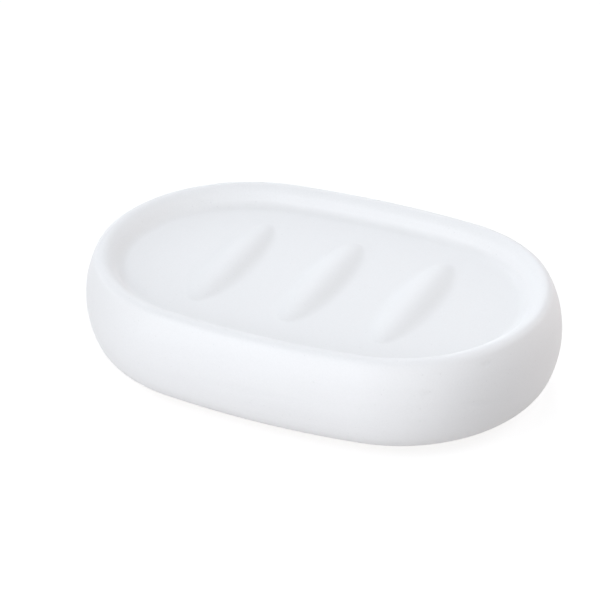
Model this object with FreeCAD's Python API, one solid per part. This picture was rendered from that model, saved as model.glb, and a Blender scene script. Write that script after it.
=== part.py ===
import FreeCAD, Part
import math
import os
from FreeCAD import Vector

# Oval ceramic soap dish: a slip-cast body, open underneath, on four stuck-on silicone pads.
# Millimetres and degrees. X runs along the dish, Y across it, +Z up.
# The origin lies on the table under the middle of the dish.
# An inset is a distance in from the outline at the dish's widest level, along its normal.
# A height of the body is counted up from the flat foot ring.

# Outline at the widest level: an oval of four tangent arcs
dish_length = 140.0
dish_width = 94.8
side_radius = 233.0        # the long, nearly straight front and back

# Outer wall, from the foot up: heel arc, side bulge, shoulder arc
body_height = 29.7
heel_radius = 10.3
heel_angle = 22.0          # below level, where the heel arc runs into the bulge
shoulder_radius = 2.3
shoulder_angle = 25.8      # above level, where the bulge runs into the shoulder

# Tray: lip arc, straight slope and cove arc down to the flat floor
lip_radius = 4.3
slope_angle = 53.5
slope_length = 1.9
tray_depth = 4.8

# Hollow underside of the cast shell
wall_thickness = 4.5
floor_thickness = 4.5
foot_thickness = 4.5
foot_width = 10.0
mouth_edge_radius = 0.8
hollow_corner_radius = 3.0

# Drain ribs, cast with the floor
rib_count = 3
rib_spacing = 28.4
rib_end_gap = 10.9         # from the middle rib's tips to the edge of the flat floor
rib_width = 17.1
rib_tip_width = 1.0
rib_height = 1.9
rib_dome_share = 0.56      # of the half width: a bulging dome inside it, a hollow foot outside it
rib_end_power = 1.5        # higher is a lower, longer run-out towards the tips
rib_across_points = 17
rib_along_points = 25

# Anti-slip pads, each held by its own adhesive disc
pad_thickness = 1.6
pad_edge_radius = 0.7
pad_margin = 0.6           # bare foot ring left on either side of a pad
pad_angle = 50.0           # from the long axis, seen from the middle of the rounded end
adhesive_thickness = 0.4
adhesive_margin = 0.5      # pad left showing round its adhesive

# Derived places
half_length = dish_length / 2
half_width = dish_width / 2
end_radius = (side_radius * half_width - (half_length**2 + half_width**2) / 2) / (side_radius - half_length)
end_centre = half_length - end_radius
side_centre = side_radius - half_width
end_half_angle = math.degrees(math.atan2(side_centre, end_centre))
foot_level = pad_thickness + adhesive_thickness

heel_sin = math.sin(math.radians(heel_angle))
heel_cos = math.cos(math.radians(heel_angle))
shoulder_sin = math.sin(math.radians(shoulder_angle))
shoulder_cos = math.cos(math.radians(shoulder_angle))
arcs_height = heel_radius * (1 - heel_sin) + shoulder_radius * (1 - shoulder_sin)
bulge_radius = (body_height - arcs_height) / (heel_sin + shoulder_sin)
widest_level = heel_radius * (1 - heel_sin) + bulge_radius * heel_sin
foot_inset = bulge_radius * (1 - heel_cos) + heel_radius * heel_cos
crest_inset = bulge_radius * (1 - shoulder_cos) + shoulder_radius * shoulder_cos

slope_sin = math.sin(math.radians(slope_angle))
slope_cos = math.cos(math.radians(slope_angle))
cove_radius = (tray_depth - slope_length * slope_sin) / (1 - slope_cos) - lip_radius
floor_level = body_height - tray_depth
floor_inset = crest_inset + (lip_radius + cove_radius) * slope_sin + slope_length * slope_cos
ceiling_level = floor_level - floor_thickness
mouth_inset = foot_inset + foot_width
rib_length = 2 * (half_width - floor_inset - rib_end_gap)


class Section:
    """A chain of tangent lines and arcs in the wall's section, as points of inset and height."""

    def __init__(self, inset, level):
        self.at = (inset, level)
        self.pieces = []

    def line(self, inset, level):
        self.pieces.append((self.at, None, (inset, level)))
        self.at = (inset, level)

    def arc(self, inset, level, radius, start, end):
        """Arc about a centre, from one angle to another; 0 points outwards and 90 up."""
        points = [on_arc(inset, level, radius, angle) for angle in (start, (start + end) / 2, end)]
        self.pieces.append(tuple(points))
        self.at = points[2]


def on_arc(inset, level, radius, angle):
    turn = math.radians(angle)
    return (inset - radius * math.cos(turn), level + radius * math.sin(turn))


def hollow_corner(level, side):
    """Centre inset of a corner arc that touches a level face and the hollow's bulging wall."""
    hollow_radius = bulge_radius - wall_thickness
    rise = level - side * hollow_corner_radius - widest_level
    reach = math.sqrt((hollow_radius - hollow_corner_radius)**2 - rise**2)
    return bulge_radius - reach, level - side * hollow_corner_radius, math.degrees(math.atan2(rise, reach))


def wall_section():
    """The whole wall in section: hollow, foot ring, outer wall, rim and tray side."""
    hollow_radius = bulge_radius - wall_thickness
    top_inset, top_level, top_angle = hollow_corner(ceiling_level, 1)
    low_inset, low_level, low_angle = hollow_corner(foot_thickness, -1)
    section = Section(top_inset, ceiling_level)
    section.arc(top_inset, top_level, hollow_corner_radius, 90, top_angle)
    section.arc(bulge_radius, widest_level, hollow_radius, top_angle, low_angle)
    section.arc(low_inset, low_level, hollow_corner_radius, low_angle, -90)
    edge_inset = mouth_inset - mouth_edge_radius
    section.line(edge_inset, foot_thickness)
    section.arc(edge_inset, foot_thickness - mouth_edge_radius, mouth_edge_radius, 90, 180)
    section.line(mouth_inset, mouth_edge_radius)
    section.arc(edge_inset, mouth_edge_radius, mouth_edge_radius, 180, 270)
    section.line(foot_inset, 0)
    section.arc(foot_inset, heel_radius, heel_radius, -90, -heel_angle)
    section.arc(bulge_radius, widest_level, bulge_radius, -heel_angle, shoulder_angle)
    section.arc(crest_inset, body_height - shoulder_radius, shoulder_radius, shoulder_angle, 90)
    section.arc(crest_inset, body_height - lip_radius, lip_radius, 90, 90 + slope_angle)
    slope_inset, slope_level = section.at
    section.line(slope_inset + slope_length * slope_cos, slope_level - slope_length * slope_sin)
    section.arc(floor_inset, floor_level + cove_radius, cove_radius, slope_angle - 90, -90)
    return section


def outline_arcs():
    """The oval's four arcs: centre, radius, first angle and sweep, in order round it."""
    side_sweep = 180 - 2 * end_half_angle
    return [
        (Vector(end_centre, 0, 0), end_radius, -end_half_angle, 2 * end_half_angle),
        (Vector(0, -side_centre, 0), side_radius, end_half_angle, side_sweep),
        (Vector(-end_centre, 0, 0), end_radius, 180 - end_half_angle, 2 * end_half_angle),
        (Vector(0, side_centre, 0), side_radius, 180 + end_half_angle, side_sweep),
    ]


def section_wire(section, radius):
    """The section stood up in the XZ plane, at its distance from one arc's own axis."""
    edges = []
    for start, middle, end in section.pieces:
        first = Vector(radius - start[0], 0, foot_level + start[1])
        last = Vector(radius - end[0], 0, foot_level + end[1])
        if middle is None:
            edges.append(Part.LineSegment(first, last).toShape())
        else:
            between = Vector(radius - middle[0], 0, foot_level + middle[1])
            edges.append(Part.Arc(first, between, last).toShape())
    return Part.Wire(edges)


def wall_faces(section):
    """The section carried round the oval, turning about each arc's own centre."""
    faces = []
    for centre, radius, first_angle, sweep in outline_arcs():
        wire = section_wire(section, radius)
        wire.rotate(Vector(0, 0, 0), Vector(0, 0, 1), first_angle)
        wire.translate(centre)
        faces.extend(wire.revolve(centre, Vector(0, 0, 1), sweep).Faces)
    return faces


def oval_wire(inset, level):
    """The outline drawn in by an inset, at a height of the body."""
    edges = []
    for centre, radius, first_angle, sweep in outline_arcs():
        points = []
        for angle in (first_angle, first_angle + sweep / 2, first_angle + sweep):
            turn = math.radians(angle)
            arm = Vector(math.cos(turn), math.sin(turn), 0) * (radius - inset)
            points.append(centre + arm + Vector(0, 0, foot_level + level))
        edges.append(Part.Arc(*points).toShape())
    return Part.Wire(edges)


def rib_profile(share):
    """Height across a rib, from 1 at its middle to 0 at its border: a dome and a foot, both parabolas."""
    if share < rib_dome_share:
        return 1 - share**2 / rib_dome_share
    return (1 - share)**2 / (1 - rib_dome_share)


def rib_face(place):
    """One rib's skin: a lens in plan, domed across and dying away to nothing at its border."""
    rows = []
    for row in range(rib_along_points):
        turn = math.pi * row / (rib_along_points - 1)
        fullness = math.sin(turn) if 0 < row < rib_along_points - 1 else 0
        half = (rib_tip_width + (rib_width - rib_tip_width) * fullness) / 2
        points = []
        for column in range(rib_across_points):
            across = -math.cos(math.pi * column / (rib_across_points - 1))
            rise = rib_height * fullness**rib_end_power * rib_profile(abs(across))
            level = foot_level + floor_level + rise
            points.append(Vector(place + half * across, -rib_length / 2 * math.cos(turn), level))
        rows.append(points)
    surface = Part.BSplineSurface()
    surface.interpolate(rows)
    return surface.toShape()


def make_dish_body():
    """The cast shell: wall faces, hollow's ceiling, and the tray floor with its ribs."""
    section = wall_section()
    ribs = []
    for index in range(rib_count):
        ribs.append(rib_face((index - (rib_count - 1) / 2) * rib_spacing))
    ceiling = Part.Face(oval_wire(section.pieces[0][0][0], ceiling_level))
    floor = Part.Face([oval_wire(floor_inset, floor_level)] + [rib.OuterWire for rib in ribs])
    shell = Part.makeShell(wall_faces(section) + ribs + [ceiling, floor])
    shell.sewShape()
    body = Part.Solid(shell)
    if body.Volume < 0:
        body.reverse()
    return body


def make_disc(radius, thickness, level, edge_radius=0):
    """A round disc standing on a level, its lower edge rounded where a radius is given."""
    disc = Part.makeCylinder(radius, thickness, Vector(0, 0, level))
    if edge_radius:
        lower = [edge for edge in disc.Edges if edge.BoundBox.ZMax - level < thickness / 2]
        disc = disc.makeFillet(edge_radius, lower)
    return disc


def pad_places():
    """Names and middles of the four pads, on the foot ring's flat."""
    flat_end = mouth_inset - mouth_edge_radius
    reach = end_radius - (foot_inset + flat_end) / 2
    turn = math.radians(pad_angle)
    places = {}
    for row, y_side in (("front", -1), ("rear", 1)):
        for column, x_side in (("left", -1), ("right", 1)):
            x = end_centre + reach * math.cos(turn)
            y = reach * math.sin(turn)
            places[row + "_" + column] = Vector(x_side * x, y_side * y, 0)
    return places


def make_pads():
    """The four pads and their adhesive discs, sized to the foot ring's flat."""
    pad_radius = (foot_width - mouth_edge_radius) / 2 - pad_margin
    nodes = {}
    for name, place in pad_places().items():
        pad = make_disc(pad_radius, pad_thickness, 0, pad_edge_radius)
        adhesive = make_disc(pad_radius - adhesive_margin, adhesive_thickness, pad_thickness)
        nodes["anti_slip_pad_" + name] = pad.translated(place)
        nodes["pad_adhesive_" + name] = adhesive.translated(place)
    return nodes


nodes = {"dish_body": make_dish_body()}
nodes.update(make_pads())
os.makedirs("parts", exist_ok=True)
for name, shape in nodes.items():
    shape.exportStep("parts/" + name + ".step")
    box = shape.BoundBox
    print(name, "valid", shape.isValid(), "solids", len(shape.Solids), "volume", round(shape.Volume, 1),
          "box", round(box.XLength, 2), round(box.YLength, 2), round(box.ZLength, 2))
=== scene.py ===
# %% [markdown]
# # A matt white ceramic soap dish
#
# The real thing is a low oval dish of fired clay, cast hollow and open underneath, with a
# shallow tray on top and three soft ribs that keep the soap out of the water. It stands on
# four small silicone pads, each stuck to the unglazed foot ring with an adhesive disc.
#
# This lesson dresses the engineer's model of that dish. The model comes first, as a fixed
# frame: nothing here moves or resizes it. Every size below is in metres.

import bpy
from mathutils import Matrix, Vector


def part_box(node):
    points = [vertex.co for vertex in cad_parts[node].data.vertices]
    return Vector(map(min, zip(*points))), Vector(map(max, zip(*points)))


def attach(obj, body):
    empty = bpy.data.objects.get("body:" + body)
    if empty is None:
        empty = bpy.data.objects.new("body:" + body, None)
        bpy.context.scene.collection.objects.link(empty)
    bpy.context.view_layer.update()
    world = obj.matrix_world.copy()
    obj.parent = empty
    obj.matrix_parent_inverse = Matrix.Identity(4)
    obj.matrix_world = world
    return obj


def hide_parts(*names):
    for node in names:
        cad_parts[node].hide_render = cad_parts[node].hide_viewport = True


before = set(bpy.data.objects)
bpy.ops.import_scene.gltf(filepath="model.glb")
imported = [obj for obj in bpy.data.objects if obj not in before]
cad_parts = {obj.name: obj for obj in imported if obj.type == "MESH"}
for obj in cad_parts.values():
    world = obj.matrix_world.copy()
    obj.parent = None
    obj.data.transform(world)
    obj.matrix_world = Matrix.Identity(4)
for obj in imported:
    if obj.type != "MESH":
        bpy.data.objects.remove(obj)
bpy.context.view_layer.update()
print("nodes:", ", ".join(sorted(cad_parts)))

# %% [markdown]
# ## Tools for the rest of the lesson
#
# Shapes are worked out with numpy, as whole arrays, and handed to Blender once they are
# finished. That keeps each surface a formula that can be read and changed.

# %% Import the libraries
import math

import bpy
import mathutils
import numpy as np

TURN = 2 * math.pi
MM = 0.001

# %% [markdown]
# ## The outline: an oval of four arcs
#
# Seen from above, the dish has two big rounded ends and two long sides that are almost,
# but not quite, straight. A stretched circle would be too pointed and a plain rounded
# rectangle too stiff, so the outline is four arcs that meet without a kink: a small circle
# at each end and a large one along each side. Only the length, the width and the side's
# radius are chosen; the end's radius follows from the arcs having to touch.

# %% Work out the outline
body_low, body_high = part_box("dish_body")
half_length = (body_high.x - body_low.x) / 2
half_width = (body_high.y - body_low.y) / 2
foot_level = body_low.z
body_height = body_high.z - body_low.z

side_radius = 233.0 * MM
corner_reach = (half_length**2 + half_width**2) / 2
end_radius = (side_radius * half_width - corner_reach) / (side_radius - half_length)
end_centre = half_length - end_radius
side_centre = side_radius - half_width
end_half_angle = math.atan2(side_centre, end_centre)


def oval_outline(count):
    """Points evenly spaced round the oval, and the outward direction at each.

    A share from 0 to 1 runs once round. It is turned into a distance along the quarter
    outline, mirrored into the other quarters. Up to the end arc's length the point lies on
    the end circle, and past it on the side circle, at the angle that the distance gives.
    """
    share = np.arange(count) / count * 4
    quarter = np.floor(share).astype(int)
    along = np.where(quarter % 2 == 0, share - quarter, 1 - (share - quarter))
    end_length = end_radius * end_half_angle
    side_length = side_radius * (math.pi / 2 - end_half_angle)
    distance = along * (end_length + side_length)
    on_end = distance < end_length
    side_angle = end_half_angle + (distance - end_length) / side_radius
    angle = np.where(on_end, distance / end_radius, side_angle)
    x = np.where(on_end, end_centre + end_radius * np.cos(angle), side_radius * np.cos(angle))
    y = np.where(on_end, end_radius * np.sin(angle), side_radius * np.sin(angle) - side_centre)
    x_side = np.where((quarter == 0) | (quarter == 3), 1, -1)
    y_side = np.where(quarter < 2, 1, -1)
    points = np.stack([x * x_side, y * y_side], axis=1)
    outward = np.stack([np.cos(angle) * x_side, np.sin(angle) * y_side], axis=1)
    return points, outward


print("end radius (mm):", round(end_radius / MM, 2))

# %% [markdown]
# ## The wall in section
#
# Cut across its wall, the dish is a chain of arcs that run smoothly into each other: a
# turned-under heel, a bulging side, a tight shoulder over the rim, a lip, a short slope and
# a cove down to the tray floor. Underneath, the cast shell follows the same bulge from
# inside, down to a flange with the flat foot ring on it.
#
# Each point of the section is an inset, measured in from the outline, and a level above
# the foot. A lathe profile would only make round dishes; an inset works for any outline.

# %% Name the section's sizes
heel_radius = 10.3 * MM
heel_angle = math.radians(22.0)
shoulder_radius = 2.3 * MM
shoulder_angle = math.radians(25.8)
lip_radius = 4.3 * MM
slope_angle = math.radians(53.5)
slope_length = 1.9 * MM
tray_depth = 4.8 * MM
wall_thickness = 4.5 * MM
floor_thickness = 4.5 * MM
foot_thickness = 4.5 * MM
foot_width = 10.0 * MM
mouth_edge_radius = 0.8 * MM
hollow_corner_radius = 3.0 * MM

arcs_height = heel_radius * (1 - math.sin(heel_angle)) + shoulder_radius * (1 - math.sin(shoulder_angle))
bulge_radius = (body_height - arcs_height) / (math.sin(heel_angle) + math.sin(shoulder_angle))
widest_level = heel_radius * (1 - math.sin(heel_angle)) + bulge_radius * math.sin(heel_angle)
foot_inset = bulge_radius * (1 - math.cos(heel_angle)) + heel_radius * math.cos(heel_angle)
crest_inset = bulge_radius * (1 - math.cos(shoulder_angle)) + shoulder_radius * math.cos(shoulder_angle)
slope_drop = slope_length * math.sin(slope_angle)
cove_radius = (tray_depth - slope_drop) / (1 - math.cos(slope_angle)) - lip_radius
floor_level = body_height - tray_depth
floor_inset = (crest_inset + (lip_radius + cove_radius) * math.sin(slope_angle)
               + slope_length * math.cos(slope_angle))
ceiling_level = floor_level - floor_thickness
mouth_inset = foot_inset + foot_width
print("bulge radius, cove radius (mm):", round(bulge_radius / MM, 2), round(cove_radius / MM, 2))


# %% Draw the section with arcs
STEPS = {"corner": 6, "hollow": 9, "edge": 4, "foot": 7, "heel": 13, "side": 30, "rim": 11, "cove": 13}


def arc(inset, level, radius, start, end, count):
    """Points on a circle about a centre, between two angles: 0 is outwards, a quarter turn is up."""
    angle = np.linspace(start, end, count)
    return np.stack([inset - radius * np.cos(angle), level + radius * np.sin(angle)], axis=1)


def hollow_corner(level, side):
    """Centre and wall angle of the corner arc between a level face and the hollow's bulging wall."""
    rise = level - side * hollow_corner_radius - widest_level
    reach = math.sqrt((bulge_radius - wall_thickness - hollow_corner_radius)**2 - rise**2)
    return bulge_radius - reach, level - side * hollow_corner_radius, math.atan2(rise, reach)


def wall_section():
    """Inset and level of the whole wall, from the hollow's ceiling round to the tray floor."""
    up, down = math.pi / 2, -math.pi / 2
    top_inset, top_level, top_angle = hollow_corner(ceiling_level, 1)
    low_inset, low_level, low_angle = hollow_corner(foot_thickness, -1)
    edge_inset = mouth_inset - mouth_edge_radius
    inner_radius = bulge_radius - wall_thickness
    shoulder_level = body_height - shoulder_radius
    lip_level = body_height - lip_radius
    parts = [
        arc(top_inset, top_level, hollow_corner_radius, up, top_angle, STEPS["corner"]),
        arc(bulge_radius, widest_level, inner_radius, top_angle, low_angle, STEPS["hollow"])[1:],
        arc(low_inset, low_level, hollow_corner_radius, low_angle, down, STEPS["corner"])[1:],
        arc(edge_inset, foot_thickness - mouth_edge_radius, mouth_edge_radius, up, 2 * up, STEPS["edge"]),
        arc(edge_inset, mouth_edge_radius, mouth_edge_radius, 2 * up, 3 * up, STEPS["edge"]),
        np.linspace([edge_inset, 0], [foot_inset, 0], STEPS["foot"])[1:-1],
        arc(foot_inset, heel_radius, heel_radius, down, -heel_angle, STEPS["heel"]),
        arc(bulge_radius, widest_level, bulge_radius, -heel_angle, shoulder_angle, STEPS["side"])[1:],
        arc(crest_inset, shoulder_level, shoulder_radius, shoulder_angle, up, STEPS["rim"])[1:],
        arc(crest_inset, lip_level, lip_radius, up, up + slope_angle, STEPS["rim"])[1:],
        arc(floor_inset, floor_level + cove_radius, cove_radius, slope_angle - up, down, STEPS["cove"]),
    ]
    return np.concatenate(parts)


section = wall_section()
print("section points:", len(section))

# %% [markdown]
# ## The drain ribs
#
# Three ribs stand on the tray floor. Each is a lens in plan, rounded across, and it dies
# away into the floor with a soft foot, as a shape pressed into wet clay does. Modelling
# them as separate lumps would leave a hard seam, so they are written as a height that is
# added to the floor.

# %% Write the ribs as a height over the floor
rib_spacing = 28.4 * MM
rib_places = rib_spacing * np.array([-1, 0, 1])
rib_end_gap = 10.9 * MM
rib_length = 2 * (half_width - floor_inset - rib_end_gap)
rib_width = 17.1 * MM
rib_tip_width = 1.0 * MM
rib_height = 1.9 * MM
rib_dome_share = 0.56
rib_end_power = 1.5


def rib_rise(x, y):
    """Height of the ribs over the floor.

    Fullness falls from one in the middle of a rib's length to nothing at its tips, as a
    half circle does. The rib's width shrinks with fullness, and its height with a power of it.
    Across the width, the height is a parabola that bulges up, out to the dome's share of
    the half width, and from there a parabola that hollows out to meet the floor.
    """
    along = np.clip(2 * y / rib_length, -1, 1)
    fullness = np.sqrt(1 - along**2)
    half = (rib_tip_width + (rib_width - rib_tip_width) * fullness) / 2
    rise = np.zeros_like(x)
    for place in rib_places:
        across = np.clip(np.abs(x - place) / half, 0, 1)
        dome = 1 - across**2 / rib_dome_share
        foot = (1 - across)**2 / (1 - rib_dome_share)
        rise += rib_height * fullness**rib_end_power * np.where(across < rib_dome_share, dome, foot)
    return rise


print("rib length (mm):", round(rib_length / MM, 2))

# %% [markdown]
# ## The skin of the dish
#
# The section is carried round the outline: each of its points draws a closed ring. More
# rings, each the last one drawn in towards the middle, fill the tray floor and the hollow's
# ceiling, and a single point closes each of them. So the body is one closed skin, like the
# fired clay, with no seam for light to leak through.

# %% Carry the section round the outline
ROUND = 416
CEILING_RINGS = 10
FLOOR_RINGS = 92


def section_rings(section, points, outward):
    """Rings of points: the outline moved in along its own outward direction by each inset."""
    rings = np.empty((len(section), len(points), 3))
    rings[..., :2] = points[None] - outward[None] * section[:, 0, None, None]
    rings[..., 2] = foot_level + section[:, 1, None]
    return rings


def drawn_in_rings(edge_ring, count):
    """Rings that shrink from a flat edge ring towards its middle, the edge and the middle left out."""
    share = np.linspace(1, 0, count + 2)[1:-1]
    rings = edge_ring[None] * np.array([1, 1, 0]) * share[:, None, None]
    rings[..., 2] = edge_ring[0, 2]
    return rings


outline, outward = oval_outline(ROUND)
wall = section_rings(section, outline, outward)
ceiling = drawn_in_rings(wall[0], CEILING_RINGS)[::-1]
floor = drawn_in_rings(wall[-1], FLOOR_RINGS)
floor[..., 2] += rib_rise(floor[..., 0], floor[..., 1])
rings = np.concatenate([ceiling, wall, floor])
print("rings:", rings.shape)


# %% [markdown]
# ## Hand-finished clay
#
# A cast dish is sponged and fettled by hand before it is fired, so its walls are never
# quite true. The skin is drawn in by a few hundredths of a millimetre in slow, uneven
# waves. They are too small to see as a shape, but light slides over them unevenly.

# %% Give the walls their slow unevenness
# Each wave: its length along x, y and z, and where it starts.
unevenness = 0.05 * MM
WAVES = (
    (47 * MM, 81 * MM, 19 * MM, 0.0),
    (71 * MM, -39 * MM, 13 * MM, 1.3),
    (29 * MM, 33 * MM, -27 * MM, 4.1),
)


def slow_waves(rings):
    """A value from 0 to 1 that wanders over the surface: a sum of slanting sine waves."""
    total = np.zeros(rings.shape[:2])
    for along_x, along_y, along_z, start in WAVES:
        turns = rings[..., 0] / along_x + rings[..., 1] / along_y + rings[..., 2] / along_z
        total += np.sin(TURN * turns + start)
    return 0.5 + total / (2 * len(WAVES))


def ring_normals(rings):
    """Outward direction at each point: the cross product of the steps round and across the rings."""
    round_step = np.roll(rings, -1, axis=1) - np.roll(rings, 1, axis=1)
    across_step = np.gradient(rings, axis=0)
    normal = np.cross(round_step, across_step)
    return normal / np.linalg.norm(normal, axis=2, keepdims=True)


normals = ring_normals(rings)
rings = rings - normals * (unevenness * slow_waves(rings))[..., None]
rings[..., 2] = np.clip(rings[..., 2], foot_level, body_high.z)
print("waves up to (mm):", round(unevenness * float(slow_waves(rings).max()) / MM, 3))


# %% Hand the rings to Blender as one closed mesh
def closed_skin(name, rings, first, last):
    """A mesh from rings of points: four-cornered faces between rings, a fan to a point at each end."""
    count, around = rings.shape[:2]
    vertices = np.concatenate([rings.reshape(-1, 3), [first, last]])
    here = np.arange(count * around).reshape(count, around)
    onward = np.roll(here, -1, axis=1)
    quads = np.stack([here[:-1], onward[:-1], onward[1:], here[1:]], axis=-1).reshape(-1, 4)
    first_fan = np.stack([onward[0], here[0], np.full(around, count * around)], axis=-1)
    last_fan = np.stack([here[-1], onward[-1], np.full(around, count * around + 1)], axis=-1)
    mesh = bpy.data.meshes.new(name)
    mesh.from_pydata(vertices.tolist(), [], quads.tolist() + first_fan.tolist() + last_fan.tolist())
    mesh.polygons.foreach_set("use_smooth", np.ones(len(mesh.polygons), bool))
    mesh.update()
    piece = bpy.data.objects.new(name, mesh)
    bpy.context.scene.collection.objects.link(piece)
    return piece


middle_top = [0, 0, foot_level + floor_level + float(rib_rise(np.zeros(1), np.zeros(1))[0])]
middle_bottom = [0, 0, foot_level + ceiling_level]
dish = closed_skin("glazed_dish", rings, middle_bottom, middle_top)
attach(dish, "root")
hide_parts("dish_body")
print("dish triangles:", sum(len(p.vertices) - 2 for p in dish.data.polygons))


# %% [markdown]
# ## Anti-slip pads and adhesive discs
#
# The pads are small pressed discs of clear silicone with a rounded rim; a thin disc of
# adhesive holds each one to the foot ring. Both are turned shapes: a profile of radius and
# level, spun round the pad's own middle, which is read from the model.

# %% Turn a disc from its profile
PAD_ROUND = 64
EDGE_STEPS = 7


def edge_profile(radius, low, high, low_edge, high_edge):
    """Radius and level up the side of a disc, with a rounded lower and upper edge."""
    steps = np.linspace(0, math.pi / 2, EDGE_STEPS)
    sine, cosine = np.sin(steps), np.cos(steps)
    lower = np.stack([radius - low_edge + low_edge * sine, low + low_edge * (1 - cosine)], axis=1)
    upper = np.stack([radius - high_edge + high_edge * cosine, high - high_edge * (1 - sine)], axis=1)
    return np.concatenate([[[radius / 2, low]], lower, upper, [[radius / 2, high]]])


def turned_disc(name, node, low_edge, high_edge):
    """A disc that fills a node's box, spun from its profile."""
    low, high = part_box(node)
    x, y = (low.x + high.x) / 2, (low.y + high.y) / 2
    profile = edge_profile((high.x - low.x) / 2, low.z, high.z, low_edge, high_edge)
    angle = np.arange(PAD_ROUND) / PAD_ROUND * TURN
    rings = np.empty((len(profile), PAD_ROUND, 3))
    rings[..., 0] = x + profile[:, 0, None] * np.cos(angle)
    rings[..., 1] = y + profile[:, 0, None] * np.sin(angle)
    rings[..., 2] = profile[:, 1, None]
    piece = closed_skin(name, rings, [x, y, low.z], [x, y, high.z])
    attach(piece, "root")
    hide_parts(node)
    return piece


# %% Make the four pads with their adhesive
pad_rim_edge = 0.7 * MM
pad_back_edge = 0.15 * MM
film_edge = 0.05 * MM
pads = []
adhesives = []
for corner in ("front_left", "front_right", "rear_left", "rear_right"):
    pad = turned_disc("silicone_pad_" + corner, "anti_slip_pad_" + corner, pad_rim_edge, pad_back_edge)
    pads.append(pad)
    film = turned_disc("adhesive_disc_" + corner, "pad_adhesive_" + corner, film_edge, film_edge)
    adhesives.append(film)
print("pads and discs:", len(pads) + len(adhesives))


# %% [markdown]
# ## Finishes, and how they are put together
#
# Real finishes are never one flat value. Two effects turn up on every piece here, so each
# is built once, as a group of nodes with named inputs, and then placed in each material
# with its own sizes: a soft noise that can be stretched along the surface, and small round
# specks. The specks are pinholes in the glaze, bubbles in the adhesive and dust on the
# silicone. All of them read the object's own coordinates, so they stay on the piece when
# the camera moves.

# %% Start a material
def new_material(name, color, roughness):
    """A material with a Principled shader, its uniform numbers set on the shader's own sockets."""
    material = bpy.data.materials.new(name)
    material.use_nodes = True
    shader = material.node_tree.nodes["Principled BSDF"]
    shader.inputs["Base Color"].default_value = (*color, 1)
    shader.inputs["Roughness"].default_value = roughness
    return material, shader


def give(piece, material):
    """Makes a material the only one of a piece."""
    piece.data.materials.clear()
    piece.data.materials.append(material)


# %% Wire nodes with short calls
# A Mix node that is set to colour takes its two colours at these inputs and gives one here.
MIX_FIRST = 6
MIX_SECOND = 7
MIX_RESULT = 2


def feed(tree, socket, value):
    """Links an input to another node's output, or sets it where the value is a plain one."""
    if isinstance(value, bpy.types.NodeSocket):
        tree.links.new(value, socket)
    else:
        socket.default_value = value


def math_node(tree, operation, *values):
    """One step of arithmetic on plain numbers or other nodes' outputs."""
    node = tree.nodes.new("ShaderNodeMath")
    node.operation = operation
    for socket, value in zip(node.inputs, values):
        feed(tree, socket, value)
    return node.outputs["Value"]


def ramp(tree, value, start, end, low=0.0, high=1.0):
    """A smooth change from low to high as a value goes from start to end."""
    node = tree.nodes.new("ShaderNodeMapRange")
    node.interpolation_type = "SMOOTHSTEP"
    feed(tree, node.inputs["Value"], value)
    for name, number in (("From Min", start), ("From Max", end), ("To Min", low), ("To Max", high)):
        feed(tree, node.inputs[name], number)
    return node.outputs["Result"]


def own_coordinates(tree):
    """Places on the piece itself, in metres, so that a pattern stays on it."""
    return tree.nodes.new("ShaderNodeTexCoord").outputs["Object"]


# %% Build an empty group with named inputs
def new_group(name, inputs, output):
    """A node group with a vector input, number inputs at their usual values, and one number output."""
    tree = bpy.data.node_groups.new(name, "ShaderNodeTree")
    tree.interface.new_socket("Vector", in_out="INPUT", socket_type="NodeSocketVector")
    for socket_name, usual in inputs.items():
        socket = tree.interface.new_socket(socket_name, in_out="INPUT", socket_type="NodeSocketFloat")
        socket.default_value = usual
    tree.interface.new_socket(output, in_out="OUTPUT", socket_type="NodeSocketFloat")
    given = tree.nodes.new("NodeGroupInput").outputs
    result = tree.nodes.new("NodeGroupOutput").inputs[output]
    return tree, given, result


def place_group(tree, group, vector, **values):
    """Puts a group into a material and sets its inputs by name; returns its one output."""
    node = tree.nodes.new("ShaderNodeGroup")
    node.node_tree = group
    feed(tree, node.inputs["Vector"], vector)
    for name, value in values.items():
        node.inputs[name].default_value = value
    return node.outputs[0]


# %% Group 1: a soft noise with its own length and height
def build_soft_noise():
    """Noise from 0 to 1: its lumps have one length along the table and another height."""
    usual = {"Length": 5 * MM, "Height": 5 * MM, "Detail": 3}
    tree, given, result = new_group("soft_noise", usual, "Value")
    across = math_node(tree, "DIVIDE", 1.0, given["Length"])
    upward = math_node(tree, "DIVIDE", 1.0, given["Height"])
    scale = tree.nodes.new("ShaderNodeCombineXYZ")
    for axis, value in zip("XYZ", (across, across, upward)):
        feed(tree, scale.inputs[axis], value)
    stretched = tree.nodes.new("ShaderNodeVectorMath")
    stretched.operation = "MULTIPLY"
    feed(tree, stretched.inputs[0], given["Vector"])
    feed(tree, stretched.inputs[1], scale.outputs["Vector"])
    noise = tree.nodes.new("ShaderNodeTexNoise")
    noise.inputs["Scale"].default_value = 1.0
    feed(tree, noise.inputs["Detail"], given["Detail"])
    feed(tree, noise.inputs["Vector"], stretched.outputs["Vector"])
    feed(tree, result, noise.outputs["Fac"])
    return tree


soft_noise = build_soft_noise()


# %% Group 2: small round specks
SPECK_CORE = 0.4    # full strength out to this share of the radius, and nothing at the radius


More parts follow.
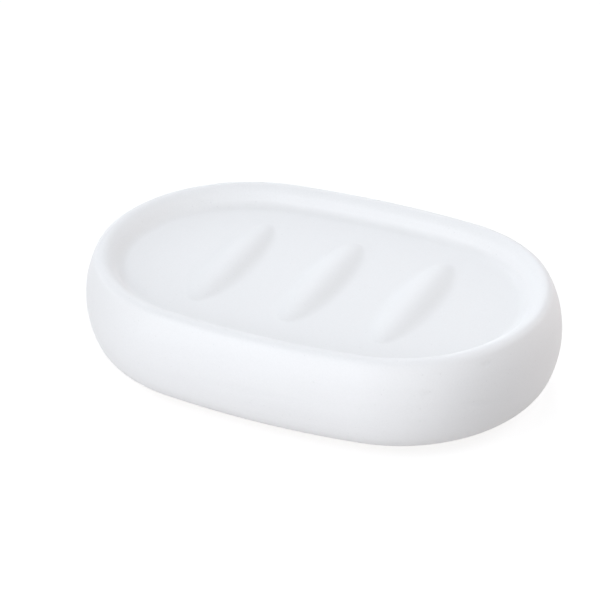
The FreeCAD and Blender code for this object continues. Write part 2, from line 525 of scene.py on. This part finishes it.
def build_specks():
    """A mask of round specks: cells of a size called spacing, some of which hold one speck each."""
    usual = {"Spacing": 1.5 * MM, "Radius": 0.3 * MM, "Share": 0.5}
    tree, given, result = new_group("specks", usual, "Mask")
    cells = tree.nodes.new("ShaderNodeTexVoronoi")
    feed(tree, cells.inputs["Vector"], given["Vector"])
    feed(tree, cells.inputs["Scale"], math_node(tree, "DIVIDE", 1.0, given["Spacing"]))
    radius = math_node(tree, "DIVIDE", given["Radius"], given["Spacing"])
    chance = tree.nodes.new("ShaderNodeSeparateColor")
    feed(tree, chance.inputs["Color"], cells.outputs["Color"])
    held = math_node(tree, "LESS_THAN", chance.outputs["Red"], given["Share"])
    core = math_node(tree, "MULTIPLY", radius, SPECK_CORE)
    spot = ramp(tree, cells.outputs["Distance"], radius, core)
    feed(tree, result, math_node(tree, "MULTIPLY", spot, held))
    return tree


specks = build_specks()
print("groups:", soft_noise.name, specks.name)

# %% [markdown]
# ## The matt white glaze
#
# Up close the glaze is white, matt and very slightly uneven. A sponge has left long faint
# streaks round the wall, there are pinholes of a few tenths of a millimetre, and here and
# there the soft clay was touched before it was fired. The streaks and touches are in the
# relief, so light finds them. The colour barely changes with the streaks, while the pinholes
# and touches are also painted a little darker: painted shade inside the pits and dents. The
# foot ring was wiped clean so that it wouldn't stick to the kiln shelf: bare clay, rougher
# and warmer.

# %% Find a place on the wall
def on_wall(direction, level):
    """A point on the outer wall, from the direction that it faces and its height above the foot."""
    turn = math.radians(direction)
    faces = np.array([math.cos(turn), math.sin(turn)])
    on_end = abs(faces[1]) <= math.sin(end_half_angle)
    radius = end_radius if on_end else side_radius
    centre = [0, -math.copysign(side_centre, faces[1])]
    if on_end:
        centre = [math.copysign(end_centre, faces[0]), 0]
    inset = bulge_radius - math.sqrt(bulge_radius**2 - (level - widest_level)**2)
    x, y = centre + faces * (radius - inset)
    return (x, y, foot_level + level)


# %% List the marks that were pressed into the soft clay
# On the wall: the direction it faces and its level, half sizes along the wall and up it,
# its tilt in degrees, and its depth against the deepest.
# The depth also sets how much darker the mark is painted: painted shade in the dent.
wall_marks = {
    "thumb_touch_front": (303.5, 21.6 * MM, 2.2 * MM, 1.2 * MM, 12, 0.8),
    "thumb_touch_right": (326.0, 26.4 * MM, 2.2 * MM, 1.2 * MM, 12, 1.0),
    "pit_low": (301.2, 13.2 * MM, 0.7 * MM, 0.6 * MM, 0, 1.0),
    "pit_middle": (274.8, 22.2 * MM, 0.5 * MM, 0.5 * MM, 0, 0.9),
    "sponge_line_front": (271.0, 15.5 * MM, 21.0 * MM, 2.0 * MM, 0, 0.5),
    "sponge_line_right": (322.5, 16.0 * MM, 8.5 * MM, 1.6 * MM, -14, 0.6),
}
floor_mark_place = (48.2 * MM, 4.0 * MM, foot_level + floor_level)
floor_mark_size = (1.5 * MM, 0.8 * MM)
floor_mark_turn = 35
floor_mark_depth = 0.6
MARK_REACH = 6.0 * MM
FADE_START = 0.2


def pressed_mark(tree, coordinates, name, place, rotation, half_sizes, depth):
    """A mask of one mark: distance from its middle in its own half sizes, faded out at one."""
    placed = tree.nodes.new("ShaderNodeMapping")
    placed.label = name
    placed.vector_type = "TEXTURE"
    placed.inputs["Location"].default_value = place
    placed.inputs["Rotation"].default_value = [math.radians(angle) for angle in rotation]
    placed.inputs["Scale"].default_value = half_sizes
    feed(tree, placed.inputs["Vector"], coordinates)
    distance = tree.nodes.new("ShaderNodeVectorMath")
    distance.operation = "LENGTH"
    feed(tree, distance.inputs[0], placed.outputs["Vector"])
    return ramp(tree, distance.outputs["Value"], 1.0, FADE_START, 0.0, depth)


def all_marks(tree, coordinates):
    """The depth of every mark together: those on the wall, and the one on the tray floor."""
    sizes = (*floor_mark_size, MARK_REACH)
    rotation = (0, 0, floor_mark_turn)
    place, depth = floor_mark_place, floor_mark_depth
    total = pressed_mark(tree, coordinates, "floor_touch", place, rotation, sizes, depth)
    for name, (direction, level, half_along, half_up, tilt, depth) in wall_marks.items():
        sizes = (half_along, MARK_REACH, half_up)
        rotation = (0, -tilt, direction + 90)
        mark = pressed_mark(tree, coordinates, name, on_wall(direction, level), rotation, sizes, depth)
        total = math_node(tree, "ADD", total, mark)
    return total


# %% Make the glaze
relief_depth = 0.1 * MM
GLAZE_WHITE = (0.87, 0.87, 0.87)
BARE_CLAY = (0.74, 0.69, 0.62)
GLAZE_ROUGHNESS = 0.55
ROUGHNESS_SWING = 0.03
CLAY_ROUGHNESS = 0.9
CLAY_SHADES = (0.9, 1.06)
WIPED_LEVELS = (foot_level + 0.3 * MM, foot_level + 0.6 * MM)

# How much each effect changes the colour, as a share of it, and the relief, as a share of its depth.
GRAIN_SHADE = 0.014
STREAK_SHADE = 0.006
# The darkening of the pinholes and marks is painted shade inside the pits and dents.
PINHOLE_PAINTED_SHADE = -0.06
MARK_PAINTED_SHADE = -0.02
GRAIN_RISE = 0.028
STREAK_RISE = 0.9
PINHOLE_DROP = 0.25

# Noise keeps near its middle, so a ramp over these parts of it uses the whole change.
MOST = (0.2, 0.8)
MIDDLE = (0.3, 0.7)


def scaled_color(tree, color, factor):
    """A colour made lighter or darker by a factor."""
    node = tree.nodes.new("ShaderNodeVectorMath")
    node.operation = "SCALE"
    node.inputs[0].default_value = color
    feed(tree, node.inputs["Scale"], factor)
    return node.outputs["Vector"]


def glaze_tone_and_painted_shade(tree, streaks, grain, pinholes, marks):
    """How light the glaze is against its own white: pinholes and marks darken it as painted shade in
    their pits and dents, the rest drifts.
    """
    # Painted shade: pinholes and marks are darkened in colour as well as sunk in the relief.
    shade = math_node(tree, "MULTIPLY", pinholes, PINHOLE_PAINTED_SHADE)
    shade = math_node(tree, "ADD", shade, math_node(tree, "MULTIPLY", marks, MARK_PAINTED_SHADE))
    shade = math_node(tree, "ADD", shade, ramp(tree, grain, *MOST, -GRAIN_SHADE, GRAIN_SHADE))
    shade = math_node(tree, "ADD", shade, ramp(tree, streaks, *MOST, -STREAK_SHADE, STREAK_SHADE))
    return math_node(tree, "ADD", shade, 1.0)


def glaze_relief(tree, streaks, grain, pinholes, marks):
    """Height of the glaze, one being the relief's full depth: streaks and grain stand, the rest sinks."""
    relief = math_node(tree, "MULTIPLY", streaks, STREAK_RISE)
    relief = math_node(tree, "ADD", relief, math_node(tree, "MULTIPLY", grain, GRAIN_RISE))
    relief = math_node(tree, "SUBTRACT", relief, math_node(tree, "MULTIPLY", pinholes, PINHOLE_DROP))
    return math_node(tree, "SUBTRACT", relief, marks)


def bare_clay(tree, streaks, coordinates):
    """One where the glaze was wiped off: under a level that wanders a little round the foot."""
    level = tree.nodes.new("ShaderNodeSeparateXYZ")
    feed(tree, level.inputs[0], coordinates)
    wiped_edge = ramp(tree, streaks, *MIDDLE, *WIPED_LEVELS)
    return math_node(tree, "LESS_THAN", level.outputs["Z"], wiped_edge)


def make_glaze():
    """White glaze over the whole dish, and bare clay on the foot ring."""
    material, shader = new_material("matt_white_glaze", GLAZE_WHITE, GLAZE_ROUGHNESS)
    tree = material.node_tree
    here = own_coordinates(tree)
    streaks = place_group(tree, soft_noise, here, Length=42 * MM, Height=5 * MM, Detail=1.5)
    grain = place_group(tree, soft_noise, here, Length=0.5 * MM, Height=0.5 * MM)
    clay_grain = place_group(tree, soft_noise, here, Length=1.6 * MM, Height=1.6 * MM)
    pinholes = place_group(tree, specks, here, Spacing=1.9 * MM, Radius=0.27 * MM, Share=0.42)
    marks = all_marks(tree, here)
    bare = bare_clay(tree, streaks, here)

    color = tree.nodes.new("ShaderNodeMix")
    color.data_type = "RGBA"
    feed(tree, color.inputs["Factor"], bare)
    white_with_painted_shade = glaze_tone_and_painted_shade(tree, streaks, grain, pinholes, marks)
    feed(tree, color.inputs[MIX_FIRST], scaled_color(tree, GLAZE_WHITE, white_with_painted_shade))
    clay_shade = ramp(tree, clay_grain, *MIDDLE, *CLAY_SHADES)
    feed(tree, color.inputs[MIX_SECOND], scaled_color(tree, BARE_CLAY, clay_shade))
    feed(tree, shader.inputs["Base Color"], color.outputs[MIX_RESULT])

    smoothest, roughest = GLAZE_ROUGHNESS - ROUGHNESS_SWING, GLAZE_ROUGHNESS + ROUGHNESS_SWING
    rough = ramp(tree, grain, *MIDDLE, smoothest, roughest)
    bare_rough = math_node(tree, "MULTIPLY", bare, CLAY_ROUGHNESS)
    feed(tree, shader.inputs["Roughness"], math_node(tree, "MAXIMUM", rough, bare_rough))

    bump = tree.nodes.new("ShaderNodeBump")
    bump.inputs["Strength"].default_value = 1.0
    bump.inputs["Distance"].default_value = relief_depth
    feed(tree, bump.inputs["Height"], glaze_relief(tree, streaks, grain, pinholes, marks))
    feed(tree, shader.inputs["Normal"], bump.outputs["Normal"])
    return material


give(dish, make_glaze())
print("glaze marks:", ", ".join(wall_marks), "and one on the floor")

# %% [markdown]
# ## Silicone and adhesive
#
# Clear silicone is never quite clear in a pad this thick: it is a milky, satin grey with
# dust on it. The adhesive behind it is a thin film with small bubbles in it.

# %% Make the silicone and the adhesive
SILICONE_GREY = (0.8, 0.82, 0.82)
SILICONE_ROUGHNESS = 0.32
SILICONE_CLEARNESS = 0.55
SILICONE_BENDING = 1.41     # how strongly it bends light
HAZE_ROUGHNESS = (0.28, 0.4)
DUST_ROUGHNESS = 0.3
haze_depth = 0.02 * MM
ADHESIVE_CREAM = (0.86, 0.85, 0.8)
ADHESIVE_ROUGHNESS = 0.5
CLOUD_SHADES = (0.94, 1.0)
BUBBLE_SHADE = 0.08
BUBBLE_SMOOTHNESS = 0.2


def make_silicone():
    """Satin, half-clear rubber: light passes through it, and dust dulls it in specks."""
    material, shader = new_material("clear_silicone", SILICONE_GREY, SILICONE_ROUGHNESS)
    shader.inputs["Transmission Weight"].default_value = SILICONE_CLEARNESS
    shader.inputs["IOR"].default_value = SILICONE_BENDING
    tree = material.node_tree
    here = own_coordinates(tree)
    haze = place_group(tree, soft_noise, here, Length=1.2 * MM, Height=1.2 * MM)
    dust = place_group(tree, specks, here, Spacing=0.9 * MM, Radius=0.12 * MM, Share=0.6)
    hazy = ramp(tree, haze, *MIDDLE, *HAZE_ROUGHNESS)
    dusty = math_node(tree, "MULTIPLY", dust, DUST_ROUGHNESS)
    feed(tree, shader.inputs["Roughness"], math_node(tree, "ADD", hazy, dusty))
    bump = tree.nodes.new("ShaderNodeBump")
    bump.inputs["Distance"].default_value = haze_depth
    feed(tree, bump.inputs["Height"], haze)
    feed(tree, shader.inputs["Normal"], bump.outputs["Normal"])
    return material


def make_adhesive():
    """Milky film: its colour clouds over slowly, and its bubbles are lighter and smoother."""
    material, shader = new_material("milky_adhesive", ADHESIVE_CREAM, ADHESIVE_ROUGHNESS)
    tree = material.node_tree
    here = own_coordinates(tree)
    cloud = place_group(tree, soft_noise, here, Length=1.5 * MM, Height=1.5 * MM)
    bubbles = place_group(tree, specks, here, Spacing=0.7 * MM, Radius=0.15 * MM, Share=0.5)
    lighter = math_node(tree, "MULTIPLY", bubbles, BUBBLE_SHADE)
    shade = math_node(tree, "ADD", ramp(tree, cloud, *MIDDLE, *CLOUD_SHADES), lighter)
    feed(tree, shader.inputs["Base Color"], scaled_color(tree, ADHESIVE_CREAM, shade))
    smoother = math_node(tree, "MULTIPLY", bubbles, BUBBLE_SMOOTHNESS)
    feed(tree, shader.inputs["Roughness"], math_node(tree, "SUBTRACT", ADHESIVE_ROUGHNESS, smoother))
    return material


silicone = make_silicone()
for pad in pads:
    give(pad, silicone)
adhesive = make_adhesive()
for disc in adhesives:
    give(disc, adhesive)
print("finishes:", len(bpy.data.materials))


# %% [markdown]
# ## The camera
#
# The photograph looks down at the dish from in front and a little to the right, from
# nearly a metre away with a long lens. The camera is placed by the direction and distance
# of the dish's middle, and then turned by a few pixels so that the dish sits in the frame
# as it does in the photograph.

# %% Set the camera
camera_azimuth = math.radians(25.48)
camera_elevation = math.radians(31.1)
camera_distance = 0.919
focal_pixels = 3199.4
aim_pixels = (21.62, 57.3)
camera_roll = math.radians(-0.75)
SENSOR = 36.0
FRAME_PIXELS = 600
SHOWN = (0.01, 100)     # nearest and farthest things that the camera shows, in metres


def unit(vector):
    """The same direction with a length of one: the vector over its own length."""
    return vector / np.linalg.norm(vector)


def place_camera():
    """Stands the camera off along its own direction, then turns it to bring the dish into place."""
    back = np.array([math.sin(camera_azimuth) * math.cos(camera_elevation),
                     -math.cos(camera_azimuth) * math.cos(camera_elevation), math.sin(camera_elevation)])
    right = np.array([math.cos(camera_azimuth), math.sin(camera_azimuth), 0])
    up = np.cross(back, right)
    ahead = unit(-back - right * aim_pixels[0] / focal_pixels + up * aim_pixels[1] / focal_pixels)
    level_right = unit(np.cross(ahead, [0, 0, 1]))
    level_up = np.cross(level_right, ahead)
    c, s = math.cos(camera_roll), math.sin(camera_roll)
    right, up = level_right * c + level_up * s, level_up * c - level_right * s
    data = bpy.data.cameras.new("camera")
    data.sensor_width = SENSOR
    data.lens = focal_pixels / FRAME_PIXELS * SENSOR
    data.clip_start, data.clip_end = SHOWN
    camera = bpy.data.objects.new("camera", data)
    bpy.context.scene.collection.objects.link(camera)
    matrix = np.identity(4)
    matrix[:3, 0], matrix[:3, 1], matrix[:3, 2] = right, up, -ahead
    matrix[:3, 3] = back * camera_distance + np.array([0, 0, foot_level])
    camera.matrix_world = matrix.T.tolist()     # turned over, because Blender reads a list by columns
    return camera


camera = place_camera()
bpy.context.scene.camera = camera
print("lens (mm):", round(camera.data.lens, 1))

# %% [markdown]
# ## Studio light
#
# The photograph was made with broad, soft light all round: no shadow has an edge and no
# highlight has a shape. The front left is the bright side and the right end falls away.
# Square lamps stand in for the softboxes. Far ones light the whole dish alike, and near ones
# light the side that they hang by more than the other. Half of them are a little cool and
# five are nearly neutral. The low one behind on the right and the light that comes back from
# the table are a little warm.

# %% Hang the softboxes
cool = (0.95, 0.995, 1.052)
even = (0.99, 0.99, 1.012)
warm = (1.05, 0.98, 0.968)


def softbox(name, azimuth, elevation, power, tint, distance, size):
    """A square lamp at a direction round the dish, facing it; azimuth 0 is in front, 90 to the right."""
    a, e = math.radians(azimuth), math.radians(elevation)
    toward = (math.sin(a) * math.cos(e), -math.cos(a) * math.cos(e), math.sin(e))
    place = mathutils.Vector(toward) * distance
    data = bpy.data.lights.new(name, "AREA")
    data.shape = "SQUARE"
    data.size = size
    data.energy = power
    data.color = tint
    lamp = bpy.data.objects.new(name, data)
    bpy.context.scene.collection.objects.link(lamp)
    lamp.location = place
    lamp.rotation_euler = (-place).to_track_quat("-Z", "Y").to_euler()
    return lamp


FAR = {"distance": 1.2, "size": 0.5}
softbox("front_left_low", -30, 12, 3.59, cool, **FAR)
softbox("front_left_high", -30, 40, 3.53, even, **FAR)
softbox("left_low", -120, 12, 1.21, cool, **FAR)
softbox("back_left_low", -150, 12, 1.65, cool, **FAR)
softbox("back_left_high", -150, 40, 3.53, cool, **FAR)

SMALL = 0.22
softbox("overhead", 0, 90, 0.271, cool, 0.35, SMALL)
softbox("left_near", -90, 15, 0.167, even, 0.466, SMALL)
softbox("front_near", 0, 15, 0.411, cool, 0.466, SMALL)
softbox("front_right_near", 45, 15, 0.42, even, 0.468, SMALL)
softbox("back_right_near", 135, 15, 0.443, warm, 0.468, SMALL)
softbox("right_high", 90, 49.4, 0.208, even, 0.461, SMALL)
softbox("back_right_high", 135, 39.5, 0.339, even, 0.55, SMALL)
print("softboxes:", len(bpy.data.lights))

# %% [markdown]
# ## A white ground that still holds a shadow
#
# The photograph's background is pure white, but a table that bright would flood the dish
# with light from below. So the table and the world show white to the camera and to
# reflections, and give the clay only the dimmer bounce that a pale table would. Near the
# dish the table glows a little less and is still lit by the lamps, so a soft shadow stays
# where the dish stands.

# %% Let white be seen without lighting the dish
def glow_by_ray(tree, socket, seen, bounced):
    """One colour for what the camera and reflections see, another for light that bounces off."""
    path = tree.nodes.new("ShaderNodeLightPath")
    looks = math_node(tree, "MAXIMUM", path.outputs["Is Camera Ray"], path.outputs["Is Glossy Ray"])
    looks = math_node(tree, "MAXIMUM", looks, path.outputs["Is Transmission Ray"])
    glow = tree.nodes.new("ShaderNodeMix")
    glow.data_type = "RGBA"
    feed(tree, glow.inputs["Factor"], looks)
    glow.inputs[MIX_FIRST].default_value = (*bounced, 1)
    glow.inputs[MIX_SECOND].default_value = (*seen, 1)
    feed(tree, socket, glow.outputs[MIX_RESULT])


WHITE = (1.0, 1.0, 1.0)
BLACK = (0.0, 0.0, 0.0)
world = bpy.data.worlds.new("studio")
world.use_nodes = True
background = world.node_tree.nodes["Background"]
background.inputs["Strength"].default_value = 1.0
glow_by_ray(world.node_tree, background.inputs["Color"], WHITE, BLACK)
bpy.context.scene.world = world
bpy.context.scene.view_settings.view_transform = "Standard"

# %% Lay the table
table_reach = 3.0
table_level = -0.02 * MM    # a hair under the pads, so that no two faces share a plane
table_grey = 0.35
near_glow = 0.78
bounced_glow = 0.22
NEAR = 0.25
FAR_OFF = 0.7
corners = [(-1, -1), (1, -1), (1, 1), (-1, 1)]
table_mesh = bpy.data.meshes.new("table")
table_corners = [(x * table_reach, y * table_reach, table_level) for x, y in corners]
table_mesh.from_pydata(table_corners, [], [(0, 1, 2, 3)])
table = bpy.data.objects.new("table", table_mesh)
bpy.context.scene.collection.objects.link(table)
table_white, table_shader = new_material("table_white", [table_grey] * 3, 1.0)
table_shader.inputs["Specular IOR Level"].default_value = 0
table_tree = table_white.node_tree
away = table_tree.nodes.new("ShaderNodeVectorMath")
away.operation = "LENGTH"
feed(table_tree, away.inputs[0], own_coordinates(table_tree))
strength = ramp(table_tree, away.outputs["Value"], NEAR, FAR_OFF, near_glow, 1.0)
feed(table_tree, table_shader.inputs["Emission Strength"], strength)
bounce = [bounced_glow / near_glow * channel for channel in warm]
glow_by_ray(table_tree, table_shader.inputs["Emission Color"], WHITE, bounce)
give(table, table_white)
print("table glow near the dish and far off:", near_glow, 1.0)
